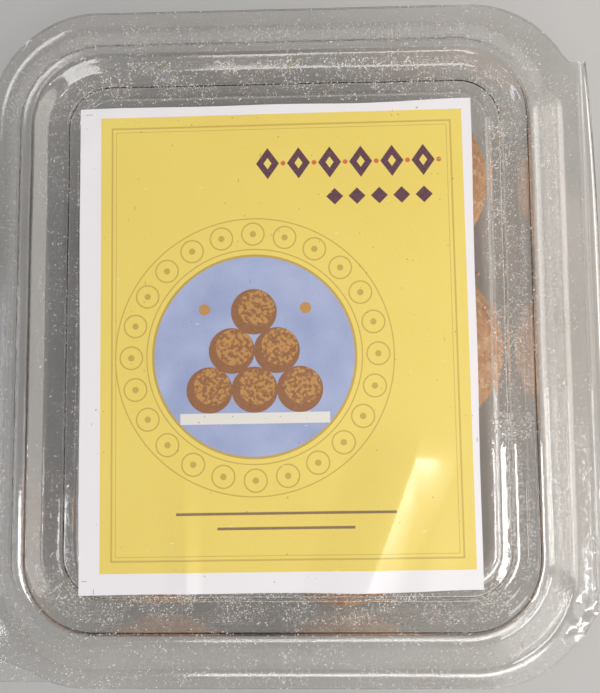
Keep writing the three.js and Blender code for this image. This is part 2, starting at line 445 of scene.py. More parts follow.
@dataclass(frozen=True)
class CrumbFinish:
    """Crushed peanut bound with dark sugar."""

    name: str
    crumb_size: float
    pale_share: float
    sheen: float = 0.12

    def build(self, effects: SharedEffects) -> bpy.types.Material:
        """Makes the material.

        Args:
            effects: The shared node groups.

        Returns:
            A material that paints shade into the cracks and between the crumbs, from values stored on the
            mesh.
        """
        material, nodes, shader, _ = new_material(self.name)
        # the mesh's painted shade for cracks and the gaps between crumbs
        crevice_shade = nodes.add("Attribute", attribute_name="crevice_shade").outputs["Fac"]
        crumbs = nodes.effect(effects.crumbs, Place=nodes.place(), Hollow=crevice_shade)
        crumbs.inputs["Crumb Size"].default_value = self.crumb_size
        crumbs.inputs["Pale Share"].default_value = self.pale_share
        nodes.feed(shader.inputs["Base Color"], crumbs.outputs["Color"])
        nodes.feed(shader.inputs["Roughness"], crumbs.outputs["Roughness"])
        shader.inputs["Coat Weight"].default_value = self.sheen
        shader.inputs["Coat Roughness"].default_value = 0.35
        add_relief(nodes, shader, crumbs.outputs["Height"], 0.8)
        return material


@dataclass(frozen=True)
class DustFinish:
    """Pale dry grains: peanut flour and fine crumbs."""

    name: str = "Pale_Dust"
    pale: Colour = (0.95, 0.93, 0.88)
    brown: Colour = (0.50, 0.36, 0.22)

    def build(self, effects: SharedEffects) -> bpy.types.Material:
        """Makes the material.

        Args:
            effects: The shared node groups.

        Returns:
            The material.
        """
        material, nodes, shader, _ = new_material(self.name)
        browner = nodes.effect(effects.specks, Place=nodes.place(), Spacing=0.9 * MM, Size=3.0, Share=0.15)
        nodes.feed(shader.inputs["Base Color"], nodes.mix(browner.outputs["Specks"], self.pale, self.brown))
        shader.inputs["Roughness"].default_value = 0.9
        return material


# ---- the label's print ---------------------------------------------------------------------------------


class Print(Nodes):
    """Inks laid on paper one over another, each a plain shape with crisp edges."""

    EDGE = 0.04 * MM

    def __init__(self, tree: bpy.types.NodeTree, place: Socket, paper: Colour) -> None:
        """Starts with bare paper.

        Args:
            tree: The material's node tree.
            place: The point being shaded, in the print's own axes.
            paper: The paper's colour.
        """
        super().__init__(tree)
        split = self.add("SeparateXYZ")
        self.feed(split.inputs[0], place)
        self.x, self.y = split.outputs["X"], split.outputs["Y"]
        self.colour: object = paper

    def inside(self, distance: Socket) -> Socket:
        """A mask: 1 where a signed distance is below 0."""
        return self.spread(distance, -self.EDGE, self.EDGE, (1.0, 0.0))

    def bar(self, middle: tuple[float, float], half: tuple[float, float]) -> Socket:
        """A rectangle.

        Args:
            middle: Its middle, in metres.
            half: Half its width and height.

        Returns:
            Its signed distance.
        """
        aside = self.math("ABSOLUTE", self.math("SUBTRACT", self.x, middle[0]))
        above = self.math("ABSOLUTE", self.math("SUBTRACT", self.y, middle[1]))
        past_side = self.math("SUBTRACT", aside, half[0])
        past_top = self.math("SUBTRACT", above, half[1])
        return self.math("MAXIMUM", past_side, past_top)

    def disc(self, middle: tuple[float, float], radius: float) -> Socket:
        """A disc's signed distance.

        Args:
            middle: Its middle, in metres.
            radius: Its radius.

        Returns:
            Its signed distance.
        """
        aside = self.math("SUBTRACT", self.x, middle[0])
        above = self.math("SUBTRACT", self.y, middle[1])
        square = self.math("ADD", self.math("MULTIPLY", aside, aside), self.math("MULTIPLY", above, above))
        return self.math("SUBTRACT", self.math("SQRT", square), radius)

    def line(self, distance: Socket, width: float) -> Socket:
        """The signed distance of a line of some width along a shape's edge."""
        return self.math("SUBTRACT", self.math("ABSOLUTE", distance), width / 2)

    def diamond(self, middle: tuple[float, float], half: tuple[float, float]) -> Socket:
        """A diamond.

        Args:
            middle: Its middle, in metres.
            half: Half its width and height.

        Returns:
            Its signed distance.
        """
        aside = self.math("ABSOLUTE", self.math("SUBTRACT", self.x, middle[0]))
        above = self.math("ABSOLUTE", self.math("SUBTRACT", self.y, middle[1]))
        slant = self.math("ADD", self.math("MULTIPLY", aside, half[1]), self.math("MULTIPLY", above, half[0]))
        return self.math("DIVIDE", self.math("SUBTRACT", slant, half[0] * half[1]), math.hypot(*half))

    def ring_of_dots(self, middle: tuple[float, float], radius: float, count: int, dot: float) -> Socket:
        """Dots set evenly round a circle.

        Args:
            middle: The circle's middle, in metres.
            radius: The circle's radius.
            count: How many dots.
            dot: Each dot's radius.

        Returns:
            Their signed distance.
        """
        aside = self.math("SUBTRACT", self.x, middle[0])
        above = self.math("SUBTRACT", self.y, middle[1])
        away = self.math("SQRT", self.math("ADD", self.math("MULTIPLY", aside, aside),
                                           self.math("MULTIPLY", above, above)))
        step = 2 * math.pi / count
        bearing = self.math("ADD", self.math("ARCTAN2", above, aside), 2 * math.pi)
        turn = self.math("PINGPONG", bearing, step / 2)
        along = self.math("SUBTRACT", self.math("MULTIPLY", away, self.math("COSINE", turn)), radius)
        across = self.math("MULTIPLY", away, self.math("SINE", turn))
        square = self.math("ADD", self.math("MULTIPLY", along, along), self.math("MULTIPLY", across, across))
        return self.math("SUBTRACT", self.math("SQRT", square), dot)

    def ink(self, distance: Socket, colour: object, cover: float = 1.0) -> None:
        """Prints a shape over what is there.

        Args:
            distance: The shape's signed distance.
            colour: The ink's colour.
            cover: How much it hides what is under it.
        """
        mask = self.math("MULTIPLY", self.inside(distance), cover)
        self.colour = self.mix(mask, self.colour, colour)


@dataclass(frozen=True)
class LabelFinish:
    """Coated white paper with a yellow field and a plain, made-up design of discs, rings and diamonds."""

    name: str = "Printed_Paper"
    paper: Colour = (0.86, 0.83, 0.845)
    yellow: Colour = (0.85, 0.66, 0.120)
    ochre: Colour = (0.53, 0.35, 0.045)
    plum: Colour = (0.085, 0.010, 0.032)
    worn_yellow: Colour = (0.80, 0.59, 0.080)
    blue: Colour = (0.29, 0.35, 0.57)
    light_blue: Colour = (0.40, 0.46, 0.68)
    brown: Colour = (0.27, 0.095, 0.018)
    tan: Colour = (0.52, 0.245, 0.045)
    orange: Colour = (0.62, 0.13, 0.015)
    cream: Colour = (0.78, 0.76, 0.70)
    grey: Colour = (0.10, 0.10, 0.10)
    field_middle: tuple[float, float] = (1.15 * MM, -0.85 * MM)
    field_half: tuple[float, float] = (40.85 * MM, 51.05 * MM)
    field_turn_deg: float = 0.49
    window_middle: tuple[float, float] = (-6.5 * MM, -4 * MM)
    window_radius: float = 22.5 * MM
    ball_radius: float = 5.1 * MM
    cutting_marks: tuple[tuple[float, float, float, float], ...] = (
        (-44.2, -52.6, 0.6, 0.07),
        (-42.1, -54.8, 0.07, 0.6),
        (-43.6, 52.0, 0.8, 0.07),
    )
    wear_share: float = 0.6

    def design(self, inks: Print) -> None:
        """Prints the design.

        Args:
            inks: The print to draw on, with the yellow field's middle as its origin.
        """
        half = self.field_half
        warm = inks.spread(inks.noise(inks.place(), 30 * MM), 0.35, 0.7, (0.0, 0.35))
        inks.ink(inks.bar((0, 0), half), inks.mix(warm, self.yellow, self.worn_yellow))
        for inset, width in ((2.6 * MM, 0.4 * MM), (3.5 * MM, 0.15 * MM)):
            frame_line = inks.bar((0, 0), (half[0] - inset, half[1] - inset))
            inks.ink(inks.line(frame_line, width), self.ochre, 0.75)
        self.heading(inks)
        self.window(inks)
        for height, wide in ((-38.5 * MM, 24 * MM), (-41.7 * MM, 15 * MM)):
            inks.ink(inks.bar((0, height), (wide, 0.3 * MM)), self.plum, 0.8)
        for x, y, half_width, half_height in self.cutting_marks:
            inks.ink(inks.bar((x * MM, y * MM), (half_width * MM, half_height * MM)), self.grey, 0.7)

    def heading(self, inks: Print) -> None:
        """Prints two rows of diamonds near the top.

        Args:
            inks: The print to draw on.
        """
        for step in range(6):
            x = (-3 + 7.0 * step) * MM
            inks.ink(inks.diamond((x, 39.5 * MM), (2.6 * MM, 3.6 * MM)), self.plum)
            inks.ink(inks.diamond((x, 39.5 * MM), (0.9 * MM, 1.3 * MM)), self.yellow)
            inks.ink(inks.disc((x + 3.5 * MM, 39.5 * MM), 0.55 * MM), self.orange)
        for step in range(5):
            inks.ink(inks.diamond(((12 + 5.0 * step) * MM, 31.6 * MM), (1.9 * MM, 1.9 * MM)), self.plum)

    def window(self, inks: Print) -> None:
        """Prints the blue disc with its rings and the heap of brown discs in it.

        Args:
            inks: The print to draw on.
        """
        x, y = self.window_middle
        radius = self.window_radius
        disc = inks.disc(self.window_middle, radius)
        clouds = inks.spread(inks.noise(inks.place(), 9 * MM, 4.0), 0.3, 0.7)
        inks.ink(disc, inks.mix(clouds, self.blue, self.light_blue))
        inks.ink(inks.line(disc, 0.55 * MM), self.ochre)
        rings = inks.ring_of_dots(self.window_middle, radius + 4.9 * MM, 24, 2.5 * MM)
        inks.ink(inks.line(rings, 0.3 * MM), self.ochre, 0.9)
        inks.ink(inks.ring_of_dots(self.window_middle, radius + 4.9 * MM, 24, 0.7 * MM), self.ochre, 0.9)
        for out in (1.4 * MM, 8.4 * MM):
            inks.ink(inks.line(inks.disc(self.window_middle, radius + out), 0.25 * MM), self.ochre, 0.9)
        inks.ink(inks.bar((x, y - 13.8 * MM), (16.5 * MM, 1.2 * MM)), self.cream)
        ball = self.ball_radius
        speckle = inks.spread(inks.noise(inks.place(), 0.8 * MM, 3.0), 0.44, 0.56)
        lit = inks.mix(speckle, self.tan, self.brown)
        for row, count in enumerate((3, 2, 1)):
            for place in range(count):
                middle = (x + (2 * place - count + 1) * ball * 0.98, y - 12.6 * MM + ball + row * ball * 1.7)
                inks.ink(inks.disc(middle, ball), self.brown)
                inks.ink(inks.disc((middle[0] + 0.6 * MM, middle[1] + 0.8 * MM), ball * 0.8), lit)
        for aside in (-11 * MM, 11.5 * MM):
            inks.ink(inks.disc((x + aside, y + 10.5 * MM), 1.25 * MM), self.tan)

    def build(self, effects: SharedEffects) -> bpy.types.Material:
        """Makes the material.

        Args:
            effects: The shared node groups.

        Returns:
            The material.
        """
        material, nodes, shader, _ = new_material(self.name)
        place = nodes.place()
        turned = nodes.add("VectorRotate", rotation_type="Z_AXIS")
        nodes.feed(turned.inputs["Vector"], place)
        turned.inputs["Center"].default_value = (*self.field_middle, 0.0)
        turned.inputs["Angle"].default_value = -math.radians(self.field_turn_deg)
        moved = nodes.add("VectorMath", operation="SUBTRACT")
        nodes.feed(moved.inputs[0], turned.outputs[0])
        moved.inputs[1].default_value = (*self.field_middle, 0.0)
        inks = Print(material.node_tree, moved.outputs[0], self.paper)
        self.design(inks)
        worn: object = inks.colour
        for stretch, spacing, size, share, ink in (
            ((1, 1, 1), 1.5 * MM, 0.13, 0.30, (0.24, 0.17, 0.06)),
            ((1, 0.22, 1), 1.3 * MM, 0.10, 0.25, (0.34, 0.26, 0.08)),
            ((0.2, 1, 1), 1.2 * MM, 0.10, 0.25, (0.93, 0.88, 0.66)),
        ):
            longer = nodes.add("VectorMath", operation="MULTIPLY")
            nodes.feed(longer.inputs[0], place)
            longer.inputs[1].default_value = stretch
            specks = nodes.effect(
                effects.specks, Place=longer.outputs[0], Spacing=spacing, Size=size, Share=share
            )
            worn = nodes.mix(nodes.math("MULTIPLY", specks.outputs["Specks"], self.wear_share), worn, ink)
        facing = nodes.add("SeparateXYZ")
        nodes.feed(facing.inputs[0], nodes.add("TexCoord").outputs["Normal"])
        front_only = nodes.mix(nodes.spread(facing.outputs["Z"], -0.2, 0.2), self.paper, worn)
        fibres = nodes.noise(place, 0.3 * MM, 4.0)
        nodes.feed(shader.inputs["Base Color"],
                   nodes.mix(nodes.spread(fibres, 0.3, 0.7, (0.0, 0.08)), front_only, (0.93, 0.90, 0.84)))
        rough = nodes.spread(nodes.noise(place, 6 * MM), 0.3, 0.7, (0.42, 0.55))
        nodes.feed(shader.inputs["Roughness"], rough)
        shader.inputs["Coat Weight"].default_value = 0.7
        shader.inputs["Coat Roughness"].default_value = 0.13
        add_relief(nodes, shader, nodes.math("MULTIPLY", fibres, 0.03 * MM), 0.4)
        return material


# ---- formed sheet ---------------------------------------------------------------------------------------


@dataclass(frozen=True)
class Ring:
    """One rounded rectangle of a formed sheet: how far it reaches, its corners' radius and its height."""

    left: float
    right: float
    half: float
    corner: float
    z: float

    @property
    def reach(self) -> float:
        """How far out the ring is, as one number."""
        return (self.left + self.right + 2 * self.half) / 4

    def values(self) -> np.ndarray:
        """The ring's five numbers."""
        return np.array([self.left, self.right, self.half, self.corner, self.z])

    def shifted(self, outwards: float, up: float) -> "Ring":
        """The ring made larger all round and moved up.

        Args:
            outwards: How much further out each side is.
            up: How much higher it is.

        Returns:
            The new ring.
        """
        return Ring(*(self.values() + (outwards, outwards, outwards, outwards, up)))

    def middle(self, corner: Corner) -> np.ndarray:
        """Finds the middle of one corner's arc.

        Args:
            corner: Which corner.

        Returns:
            The middle, seen from above.
        """
        aside, along = corner.value
        return np.array([
            (self.right - self.corner) if aside > 0 else (self.corner - self.left),
            along * (self.half - self.corner),
        ])


@dataclass(frozen=True)
class Outline:
    """How finely a ring is drawn."""

    corner_steps: int = 40
    side_steps: int = 16

    @property
    def per_corner(self) -> int:
        """How many points there are from one corner's first point to the next corner's."""
        return self.corner_steps + self.side_steps

    @property
    def count(self) -> int:
        """How many points a ring has."""
        return 4 * self.per_corner

    def direction(self, corner_number: int, step: int) -> np.ndarray:
        """Which way a point of a corner lies from the corner's middle."""
        angle = (corner_number + step / self.corner_steps) * math.pi / 2
        return np.array([math.cos(angle), math.sin(angle)])

    def draw(self, ring: Ring) -> np.ndarray:
        """The points of a ring.

        Args:
            ring: The ring.

        Returns:
            Its points, counter-clockwise seen from above, one to a row.
        """
        points = []
        corners = list(Corner)
        for number, corner in enumerate(corners):
            middle = ring.middle(corner)
            for step in range(self.corner_steps + 1):
                points.append(middle + ring.corner * self.direction(number, step))
            following = ring.middle(corners[(number + 1) % 4]) + ring.corner * self.direction(number + 1, 0)
            last = points[-1]
            for step in range(1, self.side_steps):
                points.append(last + (following - last) * step / self.side_steps)
        flat = np.array(points)
        return np.column_stack([flat, np.full(len(flat), ring.z)])


def crossing(start: np.ndarray, direction: np.ndarray, first: np.ndarray, second: np.ndarray) -> float:
    """How far along a ray it crosses a straight edge.

    Args:
        start: Where the ray starts.
        direction: Which way it goes, with length 1.
        first: The edge's first end.
        second: The edge's second end.

    Returns:
        The distance, or 0 where the ray misses the edge.
    """
    edge = second - first
    across = direction[0] * edge[1] - direction[1] * edge[0]
    if abs(across) < 1e-12:
        return 0.0
    away = first - start
    distance = (away[0] * edge[1] - away[1] * edge[0]) / across
    share = (away[0] * direction[1] - away[1] * direction[0]) / across
    return distance if distance > 0 and -1e-9 <= share <= 1 + 1e-9 else 0.0


def soften(rings: list[Ring], radii: list[float], steps: int) -> list[Ring]:
    """Rounds each bend between a list of rings.

    Args:
        rings: The rings, from the middle out.
        radii: About how far each side of each bend its rounding reaches.
        steps: How many pieces it has.

    Returns:
        More rings, with the first and the last as they were.
    """
    smooth = [rings[0]]
    for before, ring, after, radius in zip(rings, rings[1:], rings[2:], radii):
        here = ring.values()
        ends = []
        for other in (before, after):
            length = math.hypot(other.reach - ring.reach, other.z - ring.z)
            ends.append(here + (other.values() - here) * min(radius, 0.46 * length) / length)
        for share in np.linspace(0, 1, steps + 1):
            way_in = ends[0] + (here - ends[0]) * share
            way_out = here + (ends[1] - here) * share
            smooth.append(Ring(*(way_in + (way_out - way_in) * share)))
    return [*smooth, rings[-1]]


def offset(rings: list[Ring], distance: float) -> list[Ring]:
    """The rings of a sheet's other side.

    Args:
        rings: The rings of its upper side, from the middle out.
        distance: How far below it the other side lies, square to the sheet.

    Returns:
        As many rings. The sheet is level inside the first and outside the last.
    """
    slopes = [np.array([1.0, 0.0])]
    for before, after in zip(rings, rings[1:]):
        slope = np.array([after.reach - before.reach, after.z - before.z])
        slopes.append(slope / np.linalg.norm(slope))
    slopes.append(np.array([1.0, 0.0]))
    moved = []
    for ring, before, after in zip(rings, slopes, slopes[1:]):
        total = before + after
        mitre = 2 * distance / total.dot(total)
        moved.append(ring.shifted(total[1] * mitre, -total[0] * mitre))
    return moved


@dataclass
class MeshParts:
    """Vertices and faces as they are added, before they become a mesh."""

    vertices: list[Point] = field(default_factory=list)
    faces: list[tuple[int, ...]] = field(default_factory=list)

    def add_row(self, points: np.ndarray) -> list[int]:
        """Adds a row of points.

        Args:
            points: The points, one to a row.

        Returns:
            Their numbers.
        """
        first = len(self.vertices)
        self.vertices.extend(map(tuple, points.tolist()))
        return list(range(first, first + len(points)))

    def join_loops(self, inner: list[int], outer: list[int], without: frozenset[int] = frozenset()) -> None:
        """Joins two closed rows with quads.

        Args:
            inner: The first row.
            outer: The second row.
            without: The numbers of the steps that are left open.
        """
        count = len(inner)
        for step in range(count):
            if step not in without:
                following = (step + 1) % count
                self.faces.append((inner[step], outer[step], outer[following], inner[following]))

    def join_rows(self, first: list[int], second: list[int]) -> None:
        """Joins two open rows with quads."""
        for a, b, c, d in zip(first, second, second[1:], first[1:]):
            self.faces.append((a, b, c, d))

    def close_ends(self, outer: list[list[int]], inner: list[list[int]]) -> None:
        """Closes both ends of a strip.

        Args:
            outer: The rows of its outer face.
            inner: The rows of its inner face, as many.
        """
        for end in (0, -1):
            for step in range(len(outer) - 1):
                near, far = outer[step], outer[step + 1]
                self.faces.append((near[end], far[end], inner[step + 1][end], inner[step][end]))

    def fill(self, loop: list[int], shares: tuple[float, ...] = (0.8, 0.6, 0.4, 0.2)) -> None:
        """Fills the inside of a closed row, with smaller rows on the way to its middle.

        Args:
            loop: The row.
            shares: The size of each smaller row.
        """
        points = np.array([self.vertices[number] for number in loop])
        middle = points.mean(axis=0)
        outer = loop
        for share in shares:
            inner = self.add_row(middle + (points - middle) * share)
            self.join_loops(inner, outer)
            outer = inner
        (centre,) = self.add_row(middle[None, :])
        for number, following in zip(outer, outer[1:] + outer[:1]):
            self.faces.append((centre, number, following))


def add_piece(
    name: str, parts: MeshParts, material: bpy.types.Material, sharp_deg: float = 35
) -> bpy.types.Object:
    """Makes a piece of the object.

    Args:
        name: The piece's name.
        parts: Its vertices and faces. Vertices outside the CAD model's box are moved to its side.
        material: Its material.
        sharp_deg: The angle from which an edge is drawn sharp.

    Returns:
        The new object.
    """
    low, high = (np.array(corner) for corner in CAD_BOX)
    mesh = bpy.data.meshes.new(name)
    mesh.from_pydata(np.clip(np.array(parts.vertices), low, high).tolist(), [], parts.faces)
    shape = bmesh.new()
    shape.from_mesh(mesh)
    bmesh.ops.recalc_face_normals(shape, faces=shape.faces)
    shape.to_mesh(mesh)
    shape.free()
    mesh.shade_smooth()
    mesh.set_sharp_from_angle(angle=math.radians(sharp_deg))
    mesh.materials.append(material)
    piece = bpy.data.objects.new(name, mesh)
    bpy.context.scene.collection.objects.link(piece)
    return piece


LEVEL_FOOT = 6 * MM
SWELL_SIZE = 17 * MM
SWELL_HEIGHT_MM = 0.07
RIPPLE_SIZE = 4.5 * MM
RIPPLE_HEIGHT_MM = 0.014
CRUMPLE_MIDDLE = Vector((68.2 * MM, -63.6 * MM, 0.0))
CRUMPLE_REACH = 6.5 * MM
CRUMPLE_SIZE = 2.4 * MM
CRUMPLE_HEIGHT = 0.42 * MM


def uneven(point: Point) -> Vector:
    """How far a point of the formed sheet is from its nominal place.

    The foot stays level, and the film is crumpled where the hinge's front end pulls at the flanges.

    Args:
        point: The point, in metres.

    Returns:
        The move, in metres.
    """
    place = Vector(point)
    foot = min(1.0, max(0.0, place.z / LEVEL_FOOT))
    broad = noise.noise_vector(place / SWELL_SIZE) * SWELL_HEIGHT_MM * MM
    fine = noise.noise_vector(place / RIPPLE_SIZE) * RIPPLE_HEIGHT_MM * MM
    flat = Vector((place.x, place.y, 0.0))
    near = max(0.0, 1 - (flat - CRUMPLE_MIDDLE).length / CRUMPLE_REACH)
    crumple = noise.noise(flat / CRUMPLE_SIZE) * CRUMPLE_HEIGHT * min(1.0, 2 * near)
    return (broad + fine) * foot + Vector((0.0, 0.0, crumple))


# ---- sizes of the box -------------------------------------------------------------------------------------


SHEET = 0.5 * MM
GAP = 0.3 * MM
BOX_HEIGHT = 42.5 * MM
RIM_RISE = 8 * MM
PARTING = BOX_HEIGHT - RIM_RISE
OUTLINE = Outline()


def ring_mm(left: float, right: float, half: float, corner: float, rise: float) -> Ring:
    """A ring from sizes in millimetres, with its height above the hinge plane."""
    return Ring(left * MM, right * MM, half * MM, corner * MM, PARTING + rise * MM)


FLANGE_RISE = (SHEET + GAP / 2) / MM
RIM_TOP = RIM_RISE / MM - 0.14      # leaves room for the dust on the rim
LID_RINGS = [
    ring_mm(42.9, 45.6, 52.8, 5.2, 7.0),
    ring_mm(44.4, 47.1, 54.3, 6.7, 7.0),
    ring_mm(45.4, 48.1, 55.3, 7.7, 6.3),
    ring_mm(47.7, 50.4, 57.6, 9.6, 6.3),
    ring_mm(48.3, 51.0, 58.2, 10.2, 5.6),
    ring_mm(52.4, 53.9, 61.0, 13.2, 5.6),
    ring_mm(55.0, 55.5, 63.8, 15.6, 7.5),
    ring_mm(55.6, 56.0, 64.4, 16.0, RIM_TOP),
    ring_mm(57.2, 57.4, 66.0, 17.4, RIM_TOP),
    ring_mm(58.4, 58.4, 67.0, 18.3, 7.7),
    ring_mm(59.4, 59.4, 68.0, 19.2, 7.0),
    ring_mm(64.2, 64.2, 73.7, 22.0, 1.3),
    ring_mm(65.2, 65.2, 74.8, 22.8, FLANGE_RISE),
    ring_mm(68.0, 69.5, 78.0, 25.0, FLANGE_RISE),
]
LID_HAZE = [0.0, 0.0, 0.0, 0.0, 0.04, 0.05, 0.05, 0.05, 0.06, 0.10, 0.15, 0.1, 0.0, 0.05]
LID_BENDS = [radius * MM for radius in (0.3, 0.3, 0.4, 0.4, 0.75, 0.75, 0.75, 0.75, 0.75, 0.75, 1.1, 1.1)]
RIM_START = 8


@dataclass(frozen=True)
class Fold:
    """Half of the folded hinge: an arched strip along the flange, bowed along its length."""

    start: float = 69.5 * MM
    reach: float = 3.5 * MM
    bulge: float = 1.75 * MM
    half_length: float = 62.5 * MM
    middle: float = 0.8 * MM
    bow: float = 0.40
    bow_power: float = 3.6
    steps: int = 14
    ends_at: float = 0.9        # share of the way round where the crease strip takes over

    @property
    def ends(self) -> tuple[float, float]:
        """Where the strip starts and ends along the hinge side."""
        return self.middle - self.half_length, self.middle + self.half_length

    def kept(self, along: float) -> float:
        """How much of the strip's reach is left at a place along it."""
        return 1 - self.bow * min(1.0, abs(along - self.middle) / self.half_length) ** self.bow_power

    def section(self, share: float, inset: float, along: float) -> tuple[float, float]:
        """A point of the strip's cross-section.

        Args:
            share: How far round it is, from 0 at the flange to 1 at the tip.
            inset: How far inside the outer face it is.
            along: The place along the strip.

        Returns:
            Its distance from the box's middle and its height from the hinge plane.
        """
        turn = math.pi * share
        kept = self.kept(along)

        def outer(angle: float) -> np.ndarray:
            """A point of the outer face."""
            out = self.reach / 2 * (1 - math.cos(angle)) * kept
            up = (SHEET + GAP / 2) * math.cos(angle / 2) ** 2
            return np.array([out, up + self.bulge * math.sin(angle) * math.sin(angle / 2) * (1 + kept) / 2])

        step = 1e-3
        if share < step:
            slope = np.array([1.0, 0.0])
        else:
            slope = outer(turn) - outer(turn - step)
            slope /= np.linalg.norm(slope)
        point = outer(turn) + inset * np.array([slope[1], -slope[0]])
        return self.start + point[0], point[1]


FOLD = Fold()
FRONT_ROOT = [(x * MM, y * MM) for x, y in ((61.5, -71.2), (66.3, -66.6), (68.0, -63.9), (69.5, -61.9))]
BACK_ROOT = [(x * MM, y * MM) for x, y in ((68.9, 62.8), (67.6, 63.7), (66.1, 65.4), (63.9, 68.8))]


@dataclass
class FormedHalf:
    """One half of the box: a formed sheet with its flange, corner tab and half of the hinge."""

    name: str
    body: Body
    rings: list[Ring]
    tab: list[tuple[float, float]]
    fold_side: int
    haze: list[float]
    bends: list[float]
    bend_steps: int = 4
    flange_steps: int = 4
    fold_haze: float = 0.05
    rows: list[np.ndarray] = field(default_factory=list)

    def plate_edges(self) -> list[list[np.ndarray]]:
        """The outlines of what reaches past the flange's round corners: the tab and the hinge's root."""
        root = [(FOLD.start, y) for y in FOLD.ends]
        return [[np.array(point) for point in line] for line in (self.tab, FRONT_ROOT, root, BACK_ROOT)]

    def flange_edge(self) -> np.ndarray:
        """Draws the flange's outline: its round corners, or the plates that reach past them.

        Returns:
            The outermost row of points.
        """
        ring = self.rings[-1]
        row = OUTLINE.draw(ring)
        plates = self.plate_edges()
        for number, corner in enumerate(Corner):
            middle = ring.middle(corner)
            for step in range(OUTLINE.corner_steps + 1):
                way = OUTLINE.direction(number, step)
                far = max(
                    crossing(middle, way, first, second)
                    for line in plates
                    for first, second in zip(line, line[1:])
                )
                if far > ring.corner:
                    row[number * OUTLINE.per_corner + step, :2] = middle + way * far
        for y in FOLD.ends:
            nearest = np.argmin(np.hypot(row[:, 0] - FOLD.start, row[:, 1] - y))
            row[nearest, :2] = (FOLD.start, y)
        return row

    def hinge_run(self, row: np.ndarray) -> list[int]:
        """The numbers of the points along the hinge's root, from the front to the back."""
        on_side = np.abs(row[:, 0] - FOLD.start) < 1e-6
        on_root = np.flatnonzero(on_side & (np.abs(row[:, 1] - FOLD.middle) <= FOLD.half_length + 1e-6))
        return sorted(on_root, key=lambda number: row[number, 1])

    def add_fold(self, parts: MeshParts, near: list[int], far: list[int], row: np.ndarray) -> frozenset[int]:
        """Adds this half's strip of the hinge.

        Args:
            parts: The mesh so far.
            near: The flange's row of points on the side that the strip's outer face continues.
            far: The flange's row of points on its other side.
            row: The flange's outline.

        Returns:
            The numbers of the flange's steps that the strip takes up.
        """
        run = self.hinge_run(row)
        sheets = []
        for inset, loop in ((0.0, near), (SHEET, far)):
            rows = [[loop[number] for number in run]]
            for step in range(1, FOLD.steps + 1):
                share = FOLD.ends_at * step / FOLD.steps
                points = []
                for number in run:
                    along = row[number, 1]
                    out, up = FOLD.section(share, inset, along)
                    points.append((out, along, PARTING + self.fold_side * up))
                rows.append(parts.add_row(np.array(points)))
            for first, second in zip(rows, rows[1:]):
                parts.join_rows(first, second)
            sheets.append(rows)
        outer, inner = sheets
        parts.join_rows(outer[-1], inner[-1])
        parts.close_ends(outer, inner)
        return frozenset(run[:-1])

    def build(self, material: bpy.types.Material) -> bpy.types.Object:
        """Makes the piece, and keeps the rows of its upper face for the dust.

        Args:
            material: The clear sheet's material.

        Returns:
            The piece.
        """
        upper = soften(self.rings, self.bends, self.bend_steps)
        lower = offset(upper, SHEET)
        parts = MeshParts()
        hazes: list[float] = []
        edge = self.flange_edge()
        loops = {}
        for side, rings in (("upper", upper), ("lower", lower)):
            rows = [OUTLINE.draw(ring) for ring in rings[:-1]]
            last = edge.copy()
            last[:, 2] = rings[-1].z
            rows.append(last)
            if side == "upper":
                self.rows = rows
            for step in range(1, self.flange_steps):
                share = step / self.flange_steps
                rows.insert(-1, rows[len(rings) - 2] * (1 - share) + last * share)
            loops[side] = [parts.add_row(row) for row in rows]
            for inner, outer in zip(loops[side], loops[side][1:]):
                parts.join_loops(inner, outer)
            reaches = [ring.right for ring in self.rings]
            row_hazes = np.interp([row[0, 0] for row in rows], reaches, self.haze)
            hazes.extend(np.repeat(row_hazes, OUTLINE.count))
            parts.fill(loops[side][0])
            hazes.extend([self.haze[0]] * (len(parts.vertices) - len(hazes)))
        near, far = ("upper", "lower") if self.fold_side > 0 else ("lower", "upper")
        open_steps = self.add_fold(parts, loops[near][-1], loops[far][-1], edge)
        parts.join_loops(loops["upper"][-1], loops["lower"][-1], open_steps)
        parts.vertices = [tuple(Vector(point) + uneven(point)) for point in parts.vertices]
        piece = add_piece(self.name, parts, material)
        hazes.extend([self.fold_haze] * (len(parts.vertices) - len(hazes)))
        piece.data.attributes.new("haze", "FLOAT", "POINT").data.foreach_set("value", hazes)
        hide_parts(self.body.value)
        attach(piece, self.body.value)
        return piece


@dataclass(frozen=True)
class LidTab:
    """The lid's squared corner, where a finger lifts it."""

    left: float = -68 * MM
    front: float = -76.4 * MM
    reach: float = 28 * MM
    corner: float = 5 * MM
    steps: int = 8

    def outline(self) -> list[tuple[float, float]]:
        """Draws the tab.

        Returns:
            Its outline, seen from above, from its left end to its front end.
        """
        points = [(self.left, self.front + self.reach)]
        for step in range(self.steps + 1):
            angle = math.pi + step * math.pi / (2 * self.steps)
            across = self.left + self.corner * (1 + math.cos(angle))
            points.append((across, self.front + self.corner * (1 + math.sin(angle))))
        return [*points, (self.left + self.reach, self.front)]


@dataclass(frozen=True)
class TrayTab:
    """The tray's smaller corner tab."""

    corners: tuple[tuple[float, float], ...] = (
        (-52.5, -75.6),
        (-63.2, -71.7),
        (-67.4, -65.6),
        (-67.9, -56.5),
    )

    def outline(self) -> list[tuple[float, float]]:
        """The tab's outline, seen from above, from its front end to its left end."""
        return [(x * MM, y * MM) for x, y in self.corners]


